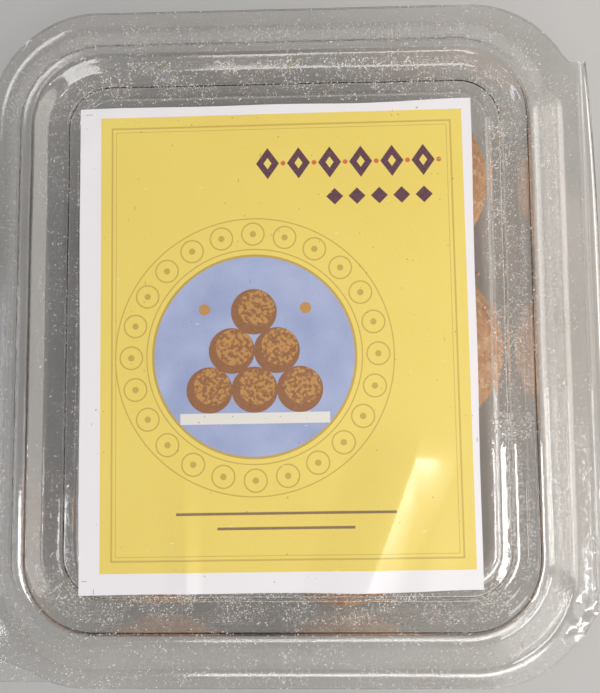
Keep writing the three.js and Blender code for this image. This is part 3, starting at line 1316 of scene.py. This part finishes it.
@dataclass(frozen=True)
class TrayProfile:
    """The tray's upper face: floor, rounded foot, leaning wall, rim, skirt and flange."""

    mouth: Ring = Ring(56.1 * MM, 56.4 * MM, 64.9 * MM, 15.8 * MM, 40.9 * MM)
    lean: float = 2.8 * MM
    fillet: float = 3 * MM
    fillet_steps: int = 6
    wall_shares: tuple[float, ...] = (0.25, 0.5, 0.75)
    lip: float = 0.45 * MM

    def rings(self) -> list[Ring]:
        """Works out the profile.

        Returns:
            Its rings, from the floor out.
        """
        mouth = self.mouth
        foot = mouth.shifted(-self.lean, SHEET - mouth.z)
        fillet = self.fillet
        rings = []
        for step in range(self.fillet_steps + 1):
            angle = math.pi / 2 * step / self.fillet_steps
            rings.append(foot.shifted(-fillet * (1 - math.sin(angle)), fillet * (1 - math.cos(angle))))
        wall_foot = rings[-1].values()
        for share in self.wall_shares:
            rings.append(Ring(*(wall_foot * (1 - share) + mouth.values() * share)))
        under_lid = offset(LID_RINGS, SHEET + GAP)[RIM_START:]
        rim_inner = Ring(*(mouth.values()[:4] + self.lip), under_lid[0].z)
        flange_top = PARTING - GAP / 2
        skirt_foot = Ring(*under_lid[-2].values()[:4], flange_top)
        flange = Ring(*LID_RINGS[-1].values()[:4], flange_top)
        return [*rings, mouth, rim_inner, *under_lid[:-2], skirt_foot, flange]


@dataclass
class HingeCrease:
    """The outer line of the fold, made as it lies with the lid shut."""

    name: str = "hinge_crease"
    steps: int = 10
    columns: int = 96
    clearance: float = 0.015        # share of the way round between the fold's edge and the strip

    def build(self, material: bpy.types.Material) -> bpy.types.Object:
        """Makes the strip.

        Args:
            material: The clear sheet's material.

        Returns:
            The piece.
        """
        first = FOLD.ends_at + self.clearance
        shares = [(first + (1 - first) * step / self.steps, 1) for step in range(self.steps + 1)]
        shares += [(share, -1) for share, _ in reversed(shares[:-1])]
        places = np.linspace(*FOLD.ends, self.columns + 1)
        parts = MeshParts()
        sheets = []
        for inset in (0.0, SHEET):
            rows = []
            for share, side in shares:
                section = [FOLD.section(share, inset, along) for along in places]
                points = [
                    (out, along, PARTING + side * max(up, 0.0)) for (out, up), along in zip(section, places)
                ]
                rows.append(parts.add_row(np.array(points)))
            for row, following in zip(rows, rows[1:]):
                parts.join_rows(row, following)
            sheets.append(rows)
        outer, inner = sheets
        for row in (0, -1):
            parts.join_rows(outer[row], inner[row])
        parts.close_ends(outer, inner)
        piece = add_piece(self.name, parts, material)
        _, height = FOLD.section(first, 0.0, 0.0)
        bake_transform(piece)
        return piece


# ---- label ---------------------------------------------------------------------------------------------


@dataclass(frozen=True)
class PaperFold:
    """A crease that runs from the paper's front edge: steep on its shiny side, gentle on the other."""

    start: tuple[float, float]
    end: tuple[float, float]
    heights: tuple[float, float]
    shiny_widths: tuple[float, float]
    gentle_width: float
    shiny_right: bool
    tail: float = 0.35                  # how far past its end it fades out, as a share of its length
    flattens: float = 1.4               # how much gentler the shiny side grows away from the crease

    def lift(self, x: float, y: float) -> float:
        """How far the fold raises the paper.

        Args:
            x: The place, in millimetres.
            y: The place, in millimetres.

        Returns:
            The height, in millimetres.
        """
        run = np.subtract(self.end, self.start)
        length = math.hypot(*run)
        away = np.subtract((x, y), self.start)
        along = float(away.dot(run)) / length**2
        right = float(run[1] * away[0] - run[0] * away[1]) / length
        share = min(1.0, max(0.0, along))
        fade = max(0.0, 1 - max(0.0, along - 1) / self.tail)
        height = self.heights[0] + (self.heights[1] - self.heights[0]) * share
        height = height * fade * fade * (3 - 2 * fade)
        shiny = self.shiny_widths[0] + (self.shiny_widths[1] - self.shiny_widths[0]) * share
        on_shiny = (right > 0) == self.shiny_right
        if on_shiny:
            return height * max(0.0, 1 - abs(right) / shiny) ** self.flattens
        left = max(0.0, 1 - abs(right) / self.gentle_width)
        return height * left * left * (3 - 2 * left) * 0.5 + height * left * 0.5


@dataclass
class Label:
    """The hand-cut sheet of paper on the lid, with its folds."""

    corners: tuple[tuple[float, float], ...] = ((-43.8, -57.0), (43.9, -56.0), (43.6, 52.7), (-44.9, 51.9))
    underside: float = 41.60 * MM
    thickness: float = 0.12 * MM
    columns: int = 220
    rows: int = 170
    swell_size: tuple[float, float] = (30 * MM, 34 * MM)
    swell_height: float = 0.07 * MM
    ripple_size: tuple[float, float] = (5 * MM, 6 * MM)
    ripple_height: float = 0.015 * MM
    folds: tuple[PaperFold, ...] = (
        PaperFold((18.0, -58.0), (29.0, -29.0), (0.60, 0.64), (6.6, 9.6), 14.0, True),
        PaperFold((-20.2, -58.0), (-20.6, -44.0), (0.50, 0.18), (5.4, 5.6), 3.6, False, 1.6),
        PaperFold((31.0, -58.0), (33.5, -42.0), (0.20, 0.05), (6.0, 5.0), 7.0, False, 0.8),
        PaperFold((-44.0, 44.0), (-36.0, 52.0), (0.12, 0.12), (5.0, 5.0), 6.0, False),
    )

    def edge_point(self, across: float, along: float) -> tuple[float, float]:
        """Where a point of the sheet lies, seen from above.

        Args:
            across: From 0 at the left edge to 1 at the right.
            along: From 0 at the front edge to 1 at the back.

        Returns:
            The place, with the cut's slight wander along the edges.
        """
        front_left, front_right, back_right, back_left = (np.array(corner) * MM for corner in self.corners)
        front = front_left + (front_right - front_left) * across
        back = back_left + (back_right - back_left) * across
        x, y = front + (back - front) * along
        wander = noise.noise(Vector((across * 3.1, along * 0.2, 4.7))) * 0.55 * MM
        sideways = noise.noise(Vector((across * 0.2, along * 3.3, 9.1))) * 0.35 * MM
        return x + sideways * (2 * across - 1) ** 4, y + wander * (2 * along - 1) ** 4

    def lift(self, x: float, y: float) -> float:
        """How far the paper stands above its flat place: soft swells and folds.

        Args:
            x: The place, in metres.
            y: The place, in metres.

        Returns:
            The height, in metres.
        """
        wide, deep = self.swell_size
        swell = self.swell_height * (1 + noise.noise(Vector((x / wide, y / deep, 2.0))))
        wide, deep = self.ripple_size
        ripple = self.ripple_height * noise.noise(Vector((x / wide, y / deep, 7.0)))
        return swell + ripple + sum(fold.lift(x / MM, y / MM) for fold in self.folds) * MM

    def build(self, material: bpy.types.Material) -> bpy.types.Object:
        """Makes the label.

        Args:
            material: The printed paper.

        Returns:
            The piece.
        """
        parts = MeshParts()
        sheets = []
        ceiling = CAD_BOX[1].z
        for raised in (self.thickness, 0.0):
            rows = []
            for row in range(self.rows + 1):
                points = []
                for column in range(self.columns + 1):
                    x, y = self.edge_point(column / self.columns, row / self.rows)
                    height = self.underside + self.lift(x, y)
                    points.append((x, y, min(height, ceiling - self.thickness) + raised))
                rows.append(parts.add_row(np.array(points)))
            for first, second in zip(rows, rows[1:]):
                parts.join_rows(first, second)
            sheets.append(rows)
        top, bottom = sheets
        for end in (0, -1):
            parts.join_rows(top[end], bottom[end])
            parts.join_rows([row[end] for row in top], [row[end] for row in bottom])
        piece = add_piece("paper_label", parts, material, sharp_deg=50)
        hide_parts("label")
        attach(piece, Body.LID.value)
        return piece


# ---- sweets --------------------------------------------------------------------------------------------


@dataclass
class Sweet:
    """One hand-rolled ball of crushed peanut, on the solid's own form."""

    number: int
    refine: int = 3
    apart: tuple[float, float, float] = (13.7, 5.3, 9.1)    # from one ball's part of the noise to the next
    crumb: float = 1.5 * MM
    crumb_edge: float = 0.45
    crumb_height: float = 0.26 * MM
    patch_size: float = 5 * MM
    grit: float = 0.42 * MM
    grit_height: float = 0.07 * MM
    crack_spacing: float = 11 * MM
    crack_patch: float = 9 * MM
    crack_bend: float = 3.2 * MM
    crack_depth: float = 0.75 * MM
    crack_width: float = 0.035

    def relief(self, place: Vector) -> tuple[float, float]:
        """How the surface departs from the smooth ball at one point.

        Args:
            place: The point, from the ball's middle, in metres.

        Returns:
            How far the point moves outwards, and how much painted shade it gets for lying in a crack or
            between crumbs, from 0 to 1.
        """
        own = Vector([self.number * step for step in self.apart])
        distances, _ = noise.voronoi(place / self.crumb + own)
        gap = min(1.0, max(0.0, (distances[1] - distances[0]) / self.crumb_edge))
        patch = 0.5 + 0.5 * noise.noise(place / self.patch_size + own)
        grain = self.crumb_height * (math.sqrt(gap) - 1) * (0.35 + patch)
        grit = self.grit_height * noise.noise(place / self.grit + own)
        bend = noise.noise_vector(place / self.crack_bend + own) * 0.25
        line = abs(noise.noise(place / self.crack_spacing + bend + own * 1.7))
        reach = noise.noise(place / self.crack_patch - own)
        crack = max(0.0, 1 - line / self.crack_width) * min(1.0, max(0.0, 4 * reach))
        height = grain + grit - self.crack_depth * crack ** 0.7
        # The second value is painted shade: strongest in the cracks, weaker in the gaps between crumbs.
        return height, min(1.0, 0.75 * crack + 0.38 * (1 - gap) * patch)

    def build(self, material: bpy.types.Material) -> bpy.types.Object:
        """Makes the ball.

        Args:
            material: The crushed peanut.

        Returns:
            The piece.
        """
        node = f"ladoo_{self.number}"
        low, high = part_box(node)
        middle = (low + high) / 2
        shape = bmesh.new()
        shape.from_mesh(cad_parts[node].data)
        bmesh.ops.remove_doubles(shape, verts=shape.verts, dist=1e-6)
        mesh = bpy.data.meshes.new(f"sweet_{self.number}")
        shape.to_mesh(mesh)
        shape.free()
        piece = bpy.data.objects.new(mesh.name, mesh)
        bpy.context.scene.collection.objects.link(piece)
        finer = piece.modifiers.new("finer", "SUBSURF")
        finer.levels = self.refine
        finer.render_levels = self.refine
        graph = bpy.context.evaluated_depsgraph_get()
        fine_mesh = bpy.data.meshes.new_from_object(piece.evaluated_get(graph))
        piece.modifiers.clear()
        piece.data = fine_mesh
        crevice_shades = []
        for vertex in fine_mesh.vertices:
            away = vertex.co - middle
            height, crevice_shade = self.relief(away)
            vertex.co += away.normalized() * height
            vertex.co.z = max(vertex.co.z, low.z)
            crevice_shades.append(crevice_shade)
        # Keeps the painted shade of the cracks and gaps on the mesh, for the material.
        values = fine_mesh.attributes.new("crevice_shade", "FLOAT", "POINT")
        values.data.foreach_set("value", crevice_shades)
        fine_mesh.shade_smooth()
        fine_mesh.materials.clear()
        fine_mesh.materials.append(material)
        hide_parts(node)
        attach(piece, Body.TRAY.value)
        return piece


# ---- dust and crumbs -----------------------------------------------------------------------------------


FOUR_POINTS = np.array([(1, 1, 1), (1, -1, -1), (-1, 1, -1), (-1, -1, 1)]) / math.sqrt(3)
FOUR_FACES = ((0, 1, 2), (0, 3, 1), (0, 2, 3), (1, 3, 2))
EIGHT_POINTS = np.array([(1, 0, 0), (-1, 0, 0), (0, 1, 0), (0, -1, 0), (0, 0, 1), (0, 0, -1)])
EIGHT_FACES = tuple((a, b, c) for a, b in ((0, 2), (2, 1), (1, 3), (3, 0)) for c in (4, 5))


def add_grains(parts: MeshParts, middles: np.ndarray, sizes: np.ndarray, chance: np.random.Generator) -> None:
    """Adds small uneven grains, with eight faces each for the larger ones and four for the rest.

    Args:
        parts: The mesh so far.
        middles: The grains' middles, one to a row.
        sizes: About how large each is.
        chance: Where their unevenness comes from.
    """
    large = sizes > np.quantile(sizes, 0.85)
    for chosen, points, faces in ((large, EIGHT_POINTS, EIGHT_FACES), (~large, FOUR_POINTS, FOUR_FACES)):
        count = int(chosen.sum())
        first, other = chance.normal(size=(2, count, 3))
        first /= np.linalg.norm(first, axis=1, keepdims=True)
        second = np.cross(first, other)
        second /= np.linalg.norm(second, axis=1, keepdims=True)
        turns = np.stack([first, second, np.cross(first, second)], axis=1)
        stretch = chance.uniform(0.6, 1.25, size=(count, len(points), 1))
        shapes = (points * stretch) @ turns * sizes[chosen][:, None, None]
        rows = parts.add_row((middles[chosen][:, None, :] + shapes).reshape(-1, 3))
        for start in range(rows[0], rows[-1], len(points)):
            parts.faces.extend((start + a, start + b, start + c) for a, b, c in faces)


@dataclass
class LidDust:
    """The fine dust on the lid: thick in the groove, thin on the rest."""

    name: str = "lid_dust"
    count: int = 36000
    radius: tuple[float, float] = (0.075 * MM, 0.20 * MM)
    seed: int = 11
    panel_share: float = 0.93           # how far in from the panel's edge the dust starts
    groove: tuple[float, float, float] = (-54.8, 55.3, 63.6)    # left, right and half length, in mm
    ledge: tuple[float, float, float] = (-48.5, 51.5, 58.0)
    covered: tuple[float, float, float] = (44.4, 53.2, -54.6)   # right, back and front of the bare part
    clean_strip: tuple[float, float] = (-46.0, 50.0)            # its right side and half length
    low_rise: float = 6.6
    panel_rise: float = 6.9

    def thickness(self, point: np.ndarray) -> float:
        """How much dust lies at a point.

        Args:
            point: The point on the lid's upper face.

        Returns:
            How much, from 0 to 1.
        """
        x, y, z = point / MM
        rise = z - PARTING / MM
        patch = 0.5 + noise.noise(Vector((x / 6, y / 6, 3.0))) + 0.4 * noise.noise(Vector((x, y, 5.0)) / 1.6)
        groove_left, groove_right, groove_half = self.groove
        ledge_left, ledge_right, ledge_half = self.ledge
        right, back, front = self.covered
        in_groove = rise < self.low_rise and abs(y) < groove_half and groove_left < x < groove_right
        near_left = x < self.clean_strip[0] and abs(y) < self.clean_strip[1]
        if x < right and front < y < back and rise > self.panel_rise:
            return 0.0
        if in_groove:
            return (0.25 if near_left else 1.0) * max(0.10, patch)
        if rise > self.low_rise and abs(y) < ledge_half and ledge_left < x < ledge_right:
            return 0.30 * max(0.05, patch)
        if rise < 1.0:
            return (0.40 if y < -70 else 0.14) * max(0.05, patch)
        return (0.10 if near_left else 0.24) * max(0.05, patch)

    def build(self, rows: list[np.ndarray], material: bpy.types.Material) -> bpy.types.Object:
        """Makes the dust.

        Args:
            rows: The rows of the lid's upper face, from the middle out.
            material: The dust's material.

        Returns:
            The piece.
        """
        chance = np.random.default_rng(self.seed)
        panel_edge = rows[0]
        middle = panel_edge.mean(axis=0)
        inner_row = middle + (panel_edge - middle) * self.panel_share
        grid = np.array([inner_row, *rows])
        inner, outer = grid[:-1], grid[1:]
        first = np.stack([inner, np.roll(inner, -1, axis=1)], axis=2)
        second = np.stack([outer, np.roll(outer, -1, axis=1)], axis=2)
        quads = np.concatenate([first, second], axis=2).reshape(-1, 4, 3)
        areas = np.linalg.norm(np.cross(quads[:, 1] - quads[:, 0], quads[:, 2] - quads[:, 0]), axis=1)
        weights = areas * [self.thickness(middle) for middle in quads.mean(axis=1)]
        chosen = quads[chance.choice(len(quads), size=self.count, p=weights / weights.sum())]
        across, along = chance.random((2, self.count, 1))
        near = chosen[:, 0] * (1 - across) + chosen[:, 1] * across
        far = chosen[:, 2] * (1 - across) + chosen[:, 3] * across
        points = near * (1 - along) + far * along
        sizes = self.radius[0] + (self.radius[1] - self.radius[0]) * chance.random(self.count) ** 3
        points += [uneven(point) for point in points]
        points[:, 2] += sizes * 0.5
        parts = MeshParts()
        add_grains(parts, points, sizes, chance)
        piece = add_piece(self.name, parts, material, sharp_deg=180)
        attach(piece, Body.LID.value)
        return piece


@dataclass
class TrayCrumbs:
    """Crumbs that have come off the sweets and lie on the tray's floor."""

    count: int = 2600
    radius: tuple[float, float] = (0.08 * MM, 0.85 * MM)
    reach: tuple[float, float] = (50 * MM, 58.5 * MM)
    seed: int = 23

    def build(self, sweets: list[tuple[Vector, float]], material: bpy.types.Material) -> bpy.types.Object:
        """Makes the crumbs.

        Args:
            sweets: Each ball's middle and radius.
            material: The crumbs' material.

        Returns:
            The piece.
        """
        chance = np.random.default_rng(self.seed)
        middles = np.array([middle for middle, _ in sweets])
        radii = np.array([radius for _, radius in sweets])
        owners = chance.integers(len(sweets), size=self.count)
        turns = chance.uniform(0, 2 * math.pi, self.count)
        away = radii[owners] * (0.25 + 1.15 * chance.random(self.count) ** 0.8)
        sizes = self.radius[0] + (self.radius[1] - self.radius[0]) * chance.random(self.count) ** 7
        points = middles[owners] + np.column_stack([np.cos(turns), np.sin(turns), 0 * turns]) * away[:, None]
        points[:, 2] = SHEET + sizes * 0.9
        gaps = np.linalg.norm(points[:, None] - middles[None], axis=2) - radii - sizes[:, None]
        free = (gaps.min(axis=1) > 0) & (np.abs(points[:, :2]) < self.reach).all(axis=1)
        parts = MeshParts()
        add_grains(parts, points[free], sizes[free], chance)
        piece = add_piece("tray_crumbs", parts, material, sharp_deg=180)
        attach(piece, Body.TRAY.value)
        return piece


# ---- studio --------------------------------------------------------------------------------------------


@dataclass(frozen=True)
class Softbox:
    """One soft lamp: where it hangs, what it points at, its size and how bright its face is."""

    name: str
    place: Point
    size: tuple[float, float]
    brightness: float
    colour: Colour = (1.0, 1.0, 1.0)
    aim: Point = (0.0, 0.0, 0.03)

    def build(self) -> bpy.types.Object:
        """Makes the lamp.

        Returns:
            The lamp, in the scene.
        """
        light = bpy.data.lights.new(self.name, "AREA")
        light.shape = "RECTANGLE"
        light.size, light.size_y = self.size
        light.energy = self.brightness * math.pi * self.size[0] * self.size[1]
        light.color = self.colour
        lamp = bpy.data.objects.new(self.name, light)
        lamp.location = self.place
        lamp.rotation_euler = (Vector(self.aim) - Vector(self.place)).to_track_quat("-Z", "Y").to_euler()
        bpy.context.scene.collection.objects.link(lamp)
        return lamp


@dataclass
class Studio:
    """The camera at the photograph's angle, a plain pale floor and soft light."""

    camera_place: Point = (0.01299, -0.02637, 0.26145)
    camera_turn_deg: Point = (6.06, 2.18, -0.46)
    lens: float = 60.0
    film_width: float = 36.0
    floor_radius: float = 2.5
    floor_colour: Colour = (0.54, 0.535, 0.52)
    sky: Colour = (0.62, 0.64, 0.68)
    sky_strength: float = 0.28
    softboxes: tuple[Softbox, ...] = (
        Softbox("window", (-0.42, 0.42, 0.50), (0.30, 0.26), 4.4, (0.96, 0.98, 1.0)),
        Softbox("front_fill", (0.10, -0.44, 0.74), (0.50, 0.18), 5.0),
        Softbox("high_right", (0.205, -0.10, 0.70), (0.024, 0.16), 38.0, aim=(0.205, -0.10, 0.0)),
        Softbox("high_left", (-0.33, -0.12, 0.70), (0.07, 0.12), 14.0, aim=(-0.33, -0.12, 0.0)),
        Softbox("right_key", (0.36, 0.04, 0.30), (0.34, 0.34), 2.4, (1.0, 0.94, 0.88)),
        Softbox("right_glow", (0.27, 0.04, 0.72), (0.34, 0.60), 0.5, (1.0, 0.80, 0.64)),
        Softbox("front_glow", (0.22, -0.28, 0.70), (0.24, 0.16), 1.0),
        Softbox("left_strip", (-0.65, -0.06, 0.30), (0.36, 0.07), 5.0, (0.90, 0.88, 1.0)),
        Softbox("right_low", (0.60, -0.07, 0.14), (0.18, 0.10), 10.0),
        Softbox("corner_low", (0.45, -0.40, 0.15), (0.45, 0.09), 11.0),
        Softbox("back_strip", (0.0, 0.65, 0.35), (0.30, 0.06), 1.5, (0.82, 0.80, 1.0)),
        Softbox("right_panel", (0.60, 0.16, 0.16), (0.30, 0.16), 1.6, (1.0, 0.93, 0.85)),
    )

    def build_camera(self) -> None:
        """Makes the camera and puts it in charge."""
        data = bpy.data.cameras.new("camera")
        data.lens = self.lens
        data.sensor_width = self.film_width
        data.sensor_fit = "HORIZONTAL"
        data.clip_start = 0.005
        camera = bpy.data.objects.new("camera", data)
        camera.location = self.camera_place
        camera.rotation_euler = [math.radians(angle) for angle in self.camera_turn_deg]
        bpy.context.scene.collection.objects.link(camera)
        bpy.context.scene.camera = camera

    def build_floor(self) -> None:
        """Makes the floor, which isn't part of the object."""
        material, nodes, shader, _ = new_material("Pale_Floor")
        tone = nodes.noise(nodes.place(), 60 * MM, 3.0)
        darker = tuple(0.96 * share for share in self.floor_colour)
        nodes.feed(shader.inputs["Base Color"], nodes.mix(tone, self.floor_colour, darker))
        shader.inputs["Roughness"].default_value = 0.75
        parts = MeshParts()
        turns = np.linspace(0, 2 * math.pi, 65)[:-1]
        loop = np.column_stack([np.cos(turns), np.sin(turns), np.zeros(64)]) * self.floor_radius
        mesh = bpy.data.meshes.new("floor")
        parts.fill(parts.add_row(loop))
        mesh.from_pydata(parts.vertices, [], parts.faces)
        mesh.materials.append(material)
        floor = bpy.data.objects.new("floor", mesh)
        bpy.context.scene.collection.objects.link(floor)

    def build_light(self) -> None:
        """Makes the sky and the lamps."""
        world = bpy.data.worlds.new("sky")
        world.use_nodes = True
        background = world.node_tree.nodes["Background"]
        background.inputs["Color"].default_value = (*self.sky, 1.0)
        background.inputs["Strength"].default_value = self.sky_strength
        bpy.context.scene.world = world
        bpy.context.scene.view_settings.view_transform = "Standard"
        for softbox in self.softboxes:
            softbox.build()

    def build(self) -> None:
        """Makes the whole studio."""
        self.build_camera()
        self.build_floor()
        self.build_light()


def main() -> None:
    """Builds the studio and the box, piece by piece."""
    logging.basicConfig(level=logging.INFO, format="%(message)s")
    noise.seed_set(NOISE_SEED)
    Studio().build()
    effects = SharedEffects()
    clear = ClearFinish("Clear_Sheet").build(effects)
    peanut = CrumbFinish("Crushed_Peanut", crumb_size=1.3 * MM, pale_share=0.16).build(effects)
    dust = DustFinish().build(effects)

    lid = FormedHalf("lid_shell", Body.LID, LID_RINGS, LidTab().outline(), 1, LID_HAZE, LID_BENDS)
    tray_sheet = TrayProfile().rings()
    tray_bends = [LID_BENDS[-3]] * (len(tray_sheet) - 4) + LID_BENDS[-2:]
    clear_all_over = [0.0] * len(tray_sheet)
    tab = TrayTab().outline()
    tray = FormedHalf("tray_shell", Body.TRAY, tray_sheet, tab, -1, clear_all_over, tray_bends)
    for half in (tray, lid):
        piece = half.build(clear)
        LOG.info("%s: %d faces", piece.name, len(piece.data.polygons))
    sweets = [Sweet(number).build(peanut) for number in range(1, SWEET_COUNT + 1)]
    balls = []
    for number, sweet in enumerate(sweets, start=1):
        low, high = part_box(f"ladoo_{number}")
        balls.append(((low + high) / 2, (high.x - low.x) / 2))
        LOG.info("%s: %d faces", sweet.name, len(sweet.data.polygons))
    for piece in (
        HingeCrease().build(clear),
        Label().build(LabelFinish().build(effects)),
        LidDust().build(lid.rows, dust),
        LidDust("lid_powder", 42000, (0.04 * MM, 0.08 * MM), seed=31).build(lid.rows, dust),
        TrayCrumbs().build(balls, peanut),
    ):
        LOG.info("%s: %d faces", piece.name, len(piece.data.polygons))


if __name__ == "__main__":
    main()
